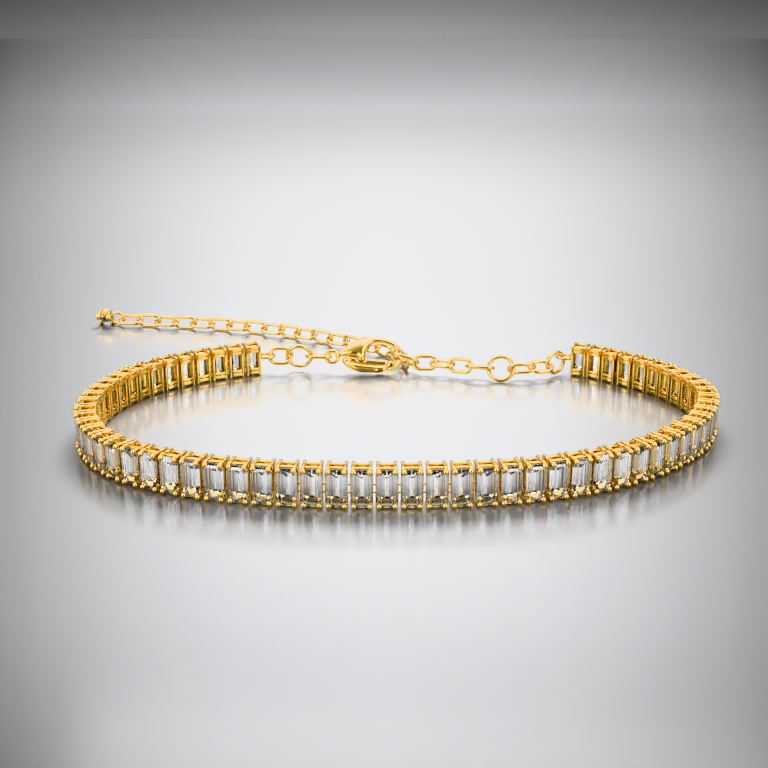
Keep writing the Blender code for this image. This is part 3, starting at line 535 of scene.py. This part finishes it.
clasp = {
    "length": 9.0, "width": 4.8, "thickness": 2.1,
    "eyeCentre": (-3.946, 9.455, 2.174), "heading": -0.66, "lean": 55.0,
    "eyeHole": 1.15, "eyeWire": 0.5, "pivot": (0.433, -0.062),
    # the body's outlines, as shares of the length and the width
    "spine": ((0.055, -0.035), (0.055, 0.085), (0.190, 0.285), (0.360, 0.460), (0.535, 0.545),
              (0.725, 0.550), (0.880, 0.470), (1.000, 0.305), (1.055, 0.095), (1.038, -0.135),
              (0.972, -0.310), (0.885, -0.405)),
    "hook": ((0.912, -0.125), (0.955, -0.020), (0.955, 0.160), (0.890, 0.310), (0.745, 0.400),
             (0.600, 0.365), (0.528, 0.230), (0.500, 0.070)),
    "lip": ((0.215, 0.005), (0.130, 0.005)),
    "tipAcross": (-0.415, -0.270, -0.135),
    "nub": 0.36, "nubAt": (0.48, 0.535),
    # thickness along the length, as a share, and the rims: how wide and how thin
    "bulge": ((0.0, 0.42), (0.22, 0.80), (0.45, 1.0), (0.70, 0.80), (0.92, 0.60), (1.1, 0.52)),
    "bodyRims": ((1.5, 0.22), (0.55, 0.40)), "gateRims": ((0.8, 0.22), (0.3, 0.80)),
    # the joint: the body's round lobe, its slot, and the gate's hub and web in the slot
    "lobe": 0.60, "lobeClearance": 0.14, "lobeArc": (20, -190, 20), "reliefArc": (-170, -10, 16),
    "slotRelief": 0.06, "slotClearance": 0.10, "hub": 0.50, "hubThickness": 0.70,
    "webHalf": 0.35, "webEase": 0.03,
    "pin": 0.20, "pinSwell": 0.06, "pinSink": 0.02, "pinPlay": 0.12, "rivet": 0.30, "rivetSink": 0.16,
    # the gate's outlines, and the groove on its two faces
    "reach": 3.60, "clearance": 0.04, "gateThickness": 0.80,
    "gateTop": ((0.530, -0.100), (0.700, -0.125)),
    "gateAcross": (-0.135, -0.270, -0.425),
    "gateBottom": ((0.630, -0.450), (0.400, -0.430), (0.245, -0.315), (0.160, -0.175),
                   (0.155, -0.050), (0.215, -0.035)),
    "groove": ((0.22, -0.16), (0.42, -0.265), (0.65, -0.30), (0.93, -0.27)),
    "grooveDepth": 0.22, "grooveWidth": 0.16,
    "samples": 8, "bodyVoxel": 0.06, "gateVoxel": 0.055, "bodyRounds": 5, "gateRounds": 4,
}


def claspPoints(shares):
    return [Vector((x * clasp["length"], y * clasp["width"])) for x, y in shares]


pivot = claspPoints([clasp["pivot"]])[0]


def claspCurve(key):
    return smoothPoints(claspPoints(clasp[key]), False, clasp["samples"])


def arcRound(radius, first, last, steps):
    # points of an arc about the pivot, between two angles in degrees
    angles = [math.radians(first + (last - first) * k / steps) for k in range(steps + 1)]
    return [pivot + radius * Vector((math.cos(angle), math.sin(angle))) for angle in angles]


def sweptEnd(radius, shares):
    # points at one radius from the pivot, where the gate's end meets the hook's tip
    found = []
    for share in shares:
        across = share * clasp["width"]
        found.append(Vector((pivot.x + math.sqrt(radius ** 2 - (across - pivot.y) ** 2), across)))
    return found


def lineDistance(points, line):
    # how far each point lies from the line
    best = np.full(len(points), np.inf)
    stops = np.array([(p.x, p.y) for p in line])
    for a, b in zip(stops, stops[1:]):
        way = b - a
        size = way @ way
        if size > 0:
            t = np.clip(((points - a) @ way) / size, 0, 1)
            best = np.minimum(best, np.linalg.norm(points - a - t[:, None] * way, axis=1))
    return best


def modified(name, mesh, steps):
    # the mesh after a list of modifiers, each a kind and its settings
    holder = newObject(name, mesh)
    for kind, values in steps:
        modifier = holder.modifiers.new(kind.lower(), kind)
        for key, value in values.items():
            setattr(modifier, key, value)
    bpy.context.view_layer.update()
    graph = bpy.context.evaluated_depsgraph_get()
    made = bpy.data.meshes.new_from_object(holder.evaluated_get(graph))
    bpy.data.objects.remove(holder)
    return made


def remesh(voxel):
    return ("REMESH", {"mode": "VOXEL", "voxel_size": voxel})


def castPlate(name, outer, inner, share, rims, voxel, groove=()):
    # a flat plate between two lines, remeshed, then given its thickness point by point:
    # it bulges along the clasp, thins at the rims and dips along the groove
    bm = bmesh.new()
    face = bm.faces.new([bm.verts.new((p.x, p.y, -1)) for p in outer + inner])
    raised = bmesh.ops.extrude_face_region(bm, geom=[face])
    bmesh.ops.translate(bm, vec=(0, 0, 2), verts=only(bmesh.types.BMVert, raised["geom"]))
    bmesh.ops.recalc_face_normals(bm, faces=bm.faces)
    mesh = bpy.data.meshes.new(name)
    bm.to_mesh(mesh)
    bm.free()
    mesh = modified(name, mesh, [remesh(voxel)])
    co = np.empty(len(mesh.vertices) * 3)
    mesh.vertices.foreach_get("co", co)
    co = co.reshape(-1, 3)
    xs, ys = zip(*clasp["bulge"])
    half = np.interp(co[:, 0] / clasp["length"], xs, ys) * clasp["thickness"] / 2 * share
    for line, (rim, least) in zip((outer, inner), rims):
        deep = np.clip(lineDistance(co[:, :2], line) / rim, 0, 1)
        half *= least + (1 - least) * np.sqrt(1 - (1 - deep) ** 2)
    if groove:
        gap = lineDistance(co[:, :2], claspPoints(groove))
        half *= 1 - clasp["grooveDepth"] * np.exp(-(gap / clasp["grooveWidth"]) ** 2)
    co[:, 2] = np.clip(co[:, 2], -1, 1) * half
    mesh.vertices.foreach_set("co", co.ravel())
    mesh.update()
    return mesh


def joinedMesh(name, meshes):
    bm = bmesh.new()
    for mesh in meshes:
        bm.from_mesh(mesh)
    made = bpy.data.meshes.new(name)
    bm.to_mesh(made)
    bm.free()
    return made


def recast(name, meshes, voxel, rounds):
    # the parts melted into one skin, as they are in a casting
    smooth = ("SMOOTH", {"factor": 0.5, "iterations": rounds})
    return modified(name, joinedMesh(name, meshes), [remesh(voxel), smooth])


def drumMesh(name, radius, half):
    # a round about the pivot, through the clasp's thickness
    return meshOf(name, lambda bm: bmesh.ops.create_cone(
        bm, cap_ends=True, segments=32, radius1=radius, radius2=radius, depth=2 * half,
        matrix=Matrix.Translation((pivot.x, pivot.y, 0))))


def beadMesh(name, x, y, z, radius):
    return meshOf(name, lambda bm: addBead(bm, (x, y, z), radius, *fineBead))


def cutAway(name, mesh, tool):
    cutter = newObject(name + "Cutter", tool)
    values = {"operation": "DIFFERENCE", "solver": "EXACT", "object": cutter}
    made = modified(name, mesh, [("BOOLEAN", values)])
    bpy.data.objects.remove(cutter)
    return made


def claspBody():
    c = clasp
    tip = sweptEnd(c["reach"] + c["clearance"], c["tipAcross"])
    lobe = arcRound(c["lobe"], *c["lobeArc"])
    inner = tip + claspCurve("hook") + lobe + claspPoints(c["lip"])
    casting = castPlate("casting", claspCurve("spine"), inner, 1.0, c["bodyRims"], c["bodyVoxel"])
    slot = drumMesh("slot", c["lobe"] + c["slotRelief"], c["hubThickness"] / 2 + c["slotClearance"])
    casting = cutAway("casting", casting, slot)
    eye = meshOf("eye", lambda bm: addLink(bm, c["eyeHole"], c["eyeHole"], c["eyeWire"],
                                           around=16, turns=20))
    nubAt = claspPoints([c["nubAt"]])[0]
    nub = beadMesh("nub", nubAt.x, nubAt.y, 0, c["nub"])
    cast = recast("claspBody", [casting, eye, nub], c["bodyVoxel"], c["bodyRounds"])
    pin = drumMesh("pin", c["pin"] + c["pinSwell"], c["thickness"] / 2 - c["pinSink"])
    rivet = beadMesh("rivet", pivot.x, pivot.y, c["thickness"] / 2 - c["rivetSink"], c["rivet"])
    return joinedMesh("claspBody", [cast, pin, rivet])


def claspGate():
    c = clasp
    relief = arcRound(c["lobe"] + c["lobeClearance"], *c["reliefArc"])
    inner = relief + claspPoints(c["gateTop"]) + sweptEnd(c["reach"], c["gateAcross"])
    arms = castPlate("arms", claspCurve("gateBottom"), inner, c["gateThickness"], c["gateRims"],
                     c["gateVoxel"], c["groove"])
    half = c["hubThickness"] / 2
    low = pivot.y - c["lobe"] - c["lobeClearance"] - c["hub"]
    web = meshOf("web", lambda bm: addBlock(
        bm, (pivot.x - c["webHalf"], low, -half), (pivot.x + c["webHalf"], pivot.y, half),
        c["webEase"]))
    parts = [arms, drumMesh("hub", c["hub"], half), web]
    cast = recast("claspGate", parts, c["gateVoxel"], c["gateRounds"])
    return cutAway("claspGate", cast, drumMesh("hole", c["pin"] + c["pinPlay"], half * 2))


def addClaspPiece(name, mesh, solid, body):
    bm = bmesh.new()
    addCopies(bm, mesh, [leanedFrame(clasp["eyeCentre"], clasp["heading"], clasp["lean"])])
    addPiece(name, bm, sharpFrom["casting"], polishedGold, stands=(solid,),
             body=body)


addClaspPiece("claspBody", claspBody(), "clasp_body", "bracelet")
addClaspPiece("claspGate", claspGate(), "clasp_gate", "gate")
print("clasp made")


# end drop: a small collet of four beads on its side, with its stone and its bail

drop = {
    "colletCentre": (-40.689, 34.5023, 0.9858), "bailCentre": (-38.5997, 34.1427, 1.25),
    "heading": 170.235, "colletLean": -145.0, "bailLean": -100.0,
    "size": 2.3, "depth": 1.5, "footShare": 0.62, "topShare": 0.86, "ease": 0.12,
    "bead": 0.46, "beadLift": 0.02, "prong": 0.2, "prongFoot": 0.72, "prongRise": 0.15,
    "stoneShare": 0.74, "stoneGirdle": 0.06, "stoneSteps": ((0.2, 0.16), (0.2, 0.10)),
    "bailHole": 1.5, "bailWire": 0.44,
}


def addCollet(bm):
    half = drop["size"] / 2
    made = bmesh.ops.create_cone(
        bm, cap_ends=True, segments=24, radius1=half * drop["footShare"],
        radius2=half * drop["topShare"], depth=drop["depth"],
        matrix=Matrix.Translation((0, 0, -drop["depth"] / 2)))
    rims = {edge for vert in made["verts"] for edge in vert.link_edges
            if abs(edge.verts[0].co.z - edge.verts[1].co.z) < drop["depth"] / 2}
    bmesh.ops.bevel(
        bm, geom=list(rims), offset=drop["ease"], offset_type="OFFSET", affect="EDGES",
        segments=3, profile=0.5, material=-1)
    out = half - drop["bead"] / 2
    for x, y in ((out, out), (out, -out), (-out, out), (-out, -out)):
        addBead(bm, (x, y, drop["beadLift"]), drop["bead"], *fineBead)
        foot = (x * drop["prongFoot"], y * drop["prongFoot"], drop["prongRise"] - drop["depth"])
        addBar(bm, foot, (x, y, 0), drop["prong"], sides=12)


def addDropStone(bm):
    bmesh.ops.create_circle(
        bm, cap_ends=True, segments=8, radius=drop["size"] / 2 * drop["stoneShare"])
    raised = bmesh.ops.extrude_face_region(bm, geom=list(bm.faces))
    table = only(bmesh.types.BMFace, raised["geom"])[0]
    bmesh.ops.translate(bm, vec=(0, 0, drop["stoneGirdle"]), verts=table.verts)
    cutSteps(bm, table, Vector((0, 0, 1)), drop["stoneSteps"])


def addEndDrop():
    place = leanedFrame(drop["colletCentre"], drop["heading"], drop["colletLean"])
    bailPlace = leanedFrame(drop["bailCentre"], drop["heading"], drop["bailLean"])
    metal = bmesh.new()
    addCopies(metal, meshOf("collet", addCollet), [place])
    metal.from_mesh(meshOf("bail", lambda bm: addLink(
        bm, drop["bailHole"], drop["bailHole"], drop["bailWire"], bailPlace, around=14, turns=18)))
    addPiece("endDrop", metal, sharpFrom["casting"], polishedGold,
             stands=("end_drop",))
    gem = bmesh.new()
    addCopies(gem, meshOf("dropStone", addDropStone), [place])
    addPiece("dropStone", gem, sharpFrom["facet"], clearStone)


addEndDrop()
print("end drop made")


# floor, light and camera

floor = {
    "reach": 9000.0, "pale": (0.695, 0.703, 0.722, 1.0), "ior": 1.5,
    "roughness": 0.18, "roughnessDrift": 0.03, "grainScale": 900.0, "grainDetail": 4.0,
    "metallic": 0.28, "glossRange": (0.10, 0.27),
    # painted light and shade: the floor's colour carries a painted pool of light, lightest in its
    # middle and darker to the sides and towards its far and near edges
    # the floor's tone is painted as seen from the photo's camera, whose place is held here as a
    # fixed point: how far a place lies to the camera's side as a share of how far it lies
    # ahead, and how steeply it lies below
    "cameraPlace": (0.003, -0.133, 0.0438), "poolEase": 0.0004, "poolWidth": (0.953, 0.02),
    "sideGain": 2.86, "steepBase": 0.035,
    # painted light and shade: the pool's tone from its middle to its sides, and from the far edge to
    # the near one
    "across": ((0.0, 1.0), (0.35, 0.95), (0.60, 0.80), (0.80, 0.60), (0.93, 0.45), (1.0, 0.39),
               (1.6, 0.15)),
    "away": ((0.0, 0.20), (0.05, 0.22), (0.10, 0.42), (0.20, 0.57), (0.40, 0.52), (0.58, 0.54),
             (0.70, 0.35), (0.80, 0.20), (1.0, 0.17)),
    # an even tone beyond the near edge
    "evenFrom": (-0.125, -0.078), "evenTone": 0.80,
}


# painted light and shade: the pool of light is multiplied into the floor's pale colour; its gloss
# also rises where the floor lies steeply below the camera's place, matte far off
def floorMaterial():
    material = bpy.data.materials.new("paleFloorPaintedLight")
    material.use_nodes = True
    tree = material.node_tree
    place = addNode(tree, "ShaderNodeTexCoord", {}).outputs["Object"]
    x, y, z = addNode(tree, "ShaderNodeSeparateXYZ", {"Vector": place}).outputs
    fromX, fromY, fromZ = floor["cameraPlace"]
    squared = mathOf(tree, "POWER", mathOf(tree, "SUBTRACT", y, fromY), 2.0)
    ahead = mathOf(tree, "SQRT", mathOf(tree, "ADD", squared, floor["poolEase"]))
    width = mathOf(tree, "MULTIPLY_ADD", ahead, *floor["poolWidth"])
    aside = mathOf(tree, "ABSOLUTE", mathOf(tree, "SUBTRACT", x, fromX))
    side = mathOf(tree, "DIVIDE", aside, width)
    below = mathOf(tree, "DIVIDE", mathOf(tree, "SUBTRACT", fromZ, z), ahead)
    steep = mathOf(tree, "ADD", below, floor["steepBase"])
    across = toneCurve(tree, "across", mathOf(tree, "MULTIPLY", side, floor["sideGain"]),
                       floor["across"])
    # painted light and shade: the pool of light, from the two tone curves
    paintedPool = colourMix(tree, "MULTIPLY", 1.0, across, toneCurve(tree, "away", steep, floor["away"]))
    beyond = mappedRange(tree, y, floor["evenFrom"], (1.0, 0.0))
    even = colourMix(tree, "MIX", beyond, paintedPool, grey(floor["evenTone"]))
    gloss = mappedRange(tree, steep, floor["glossRange"], (0.0, floor["metallic"]))
    grain = addNode(tree, "ShaderNodeTexNoise", {
        "Vector": place, "Scale": floor["grainScale"], "Detail": floor["grainDetail"]})
    drift = [floor["roughness"] + end * floor["roughnessDrift"] for end in (-1, 1)]
    feed(tree, tree.nodes["Principled BSDF"], {
        "Base Color": colourMix(tree, "MULTIPLY", 1.0, even, floor["pale"]),
        "Roughness": mappedRange(tree, grain.outputs["Fac"], (0.0, 1.0), drift, "LINEAR"),
        "IOR": floor["ior"], "Metallic": gloss, "Specular IOR Level": gloss})
    return material


def addFloor():
    bm = bmesh.new()
    bmesh.ops.create_grid(bm, x_segments=1, y_segments=1, size=floor["reach"])
    mesh = finishMesh(bm, "floor", sharpFrom["link"])
    if mesh.polygons[0].normal.z < 0:
        mesh.flip_normals()
    mesh.materials.append(floorMaterial())
    newObject("floor", mesh)


# small lamps, all turned to the middle of the bracelet
lamps = {
    "overhead": {"place": (0.02, 0.21, 0.27), "size": (0.30, 0.12), "watts": 0.42},
    "leftPanel": {"place": (-0.30, -0.14, 0.16), "size": (0.12, 0.24), "watts": 0.2},
    "rightPanel": {"place": (0.30, -0.14, 0.16), "size": (0.12, 0.24), "watts": 0.2},
}

# broad light that shows in no reflection: it lights the floor and throws the shadows
washes = {
    "fromBehind": {"way": (-0.08, -1.0, -0.95), "angle": 28, "strength": 8.2},
    "fromAbove": {"way": (0.0, 0.0, -1.0), "angle": 150, "strength": 1.6},
}


def addLight(name, kind, way, energy):
    lamp = newObject(name, bpy.data.lights.new(name, kind))
    lamp.data.energy = energy
    lamp.rotation_euler = Vector(way).to_track_quat("-Z", "Y").to_euler()
    return lamp


def addLamps():
    for name, values in lamps.items():
        lamp = addLight(name, "AREA", -Vector(values["place"]), values["watts"])
        lamp.location = values["place"]
        lamp.data.shape = "RECTANGLE"
        lamp.data.size, lamp.data.size_y = values["size"]


def addWashes():
    for name, values in washes.items():
        lamp = addLight(name, "SUN", values["way"], values["strength"])
        lamp.data.angle = math.radians(values["angle"])
        lamp.visible_glossy = False
        lamp.visible_transmission = False


sky = {
    "strength": 8.0,
    # light by height, behind the bracelet and in front of it
    "behind": ((0.0, 0.05), (0.027, 0.027), (0.07, 0.04), (0.13, 0.10), (0.22, 0.16), (0.30, 0.18),
               (0.36, 0.25), (0.43, 0.25), (0.50, 0.04), (0.62, 0.03), (0.72, 0.55), (1.0, 0.62)),
    "before": ((0.0, 0.05), (0.08, 0.05), (0.18, 0.025), (0.60, 0.025), (0.90, 0.03),
               (0.965, 0.40), (1.0, 0.62)),
    "change": (-0.25, 0.35),  # where the one turns into the other
    # upright panels at both sides of the front, by turn from the front and by height
    "panelStart": (0.42, 0.58), "panelStop": (1.30, 1.45), "panelLow": (0.03, 0.08),
    "panelHigh": (0.55, 0.80), "panel": 1.15,
    # the far wall is darker to the sides
    "wall": (0.0, 0.44), "wallLevel": 0.35, "wallTop": (0.44, 0.60),
}


def between(tree, value, start, stop):
    # 1 between start and stop, each a pair to fade over
    rise = mappedRange(tree, value, start, (0.0, 1.0))
    fall = mappedRange(tree, value, stop, (1.0, 0.0))
    return mathOf(tree, "MULTIPLY", rise, fall)


def addWorld():
    world = bpy.data.worlds.new("studio")
    world.use_nodes = True
    world.cycles_visibility.diffuse = False  # it shows in reflections and lights no floor
    bpy.context.scene.world = world
    tree = world.node_tree
    place = addNode(tree, "ShaderNodeTexCoord", {}).outputs["Generated"]
    x, y, z = addNode(tree, "ShaderNodeSeparateXYZ", {"Vector": place}).outputs
    before, behind = (toneCurve(tree, side, z, sky[side]) for side in ("before", "behind"))
    change = mappedRange(tree, y, sky["change"], (0.0, 1.0))
    light = colourMix(tree, "MIX", change, before, behind)
    # turn from the front, 0 towards the camera's side and pi behind
    aside = mathOf(tree, "ABSOLUTE", x)
    turn = mathOf(tree, "ARCTAN2", aside, mathOf(tree, "MULTIPLY", y, -1.0))
    beside = between(tree, turn, sky["panelStart"], sky["panelStop"])
    upright = between(tree, z, sky["panelLow"], sky["panelHigh"])
    panel = mathOf(tree, "MULTIPLY", beside, upright)
    light = colourMix(tree, "MIX", panel, light, grey(sky["panel"]))
    wall = mappedRange(tree, aside, sky["wall"], (1.0, sky["wallLevel"]))
    low = mappedRange(tree, z, sky["wallTop"], (1.0, 0.0))
    light = colourMix(tree, "MULTIPLY", low, light, wall)
    feed(tree, tree.nodes["Background"], {"Strength": sky["strength"], "Color": light})


view = {
    "place": (0.003008, -0.132902, 0.04377), "pitch": 17.70, "lens": 51.57, "sensor": 36.0,
    "clip": (0.001, 20.0),
}


def addCamera():
    lens = bpy.data.cameras.new("camera")
    lens.lens = view["lens"]
    lens.sensor_width = view["sensor"]
    lens.clip_start, lens.clip_end = view["clip"]
    holder = newObject("camera", lens)
    holder.location = view["place"]
    holder.rotation_euler = (math.radians(90 - view["pitch"]), 0, 0)
    bpy.context.scene.camera = holder


addFloor()
addLamps()
addWashes()
addWorld()
addCamera()
bpy.context.scene.view_settings.view_transform = "Khronos PBR Neutral"
print("studio made")
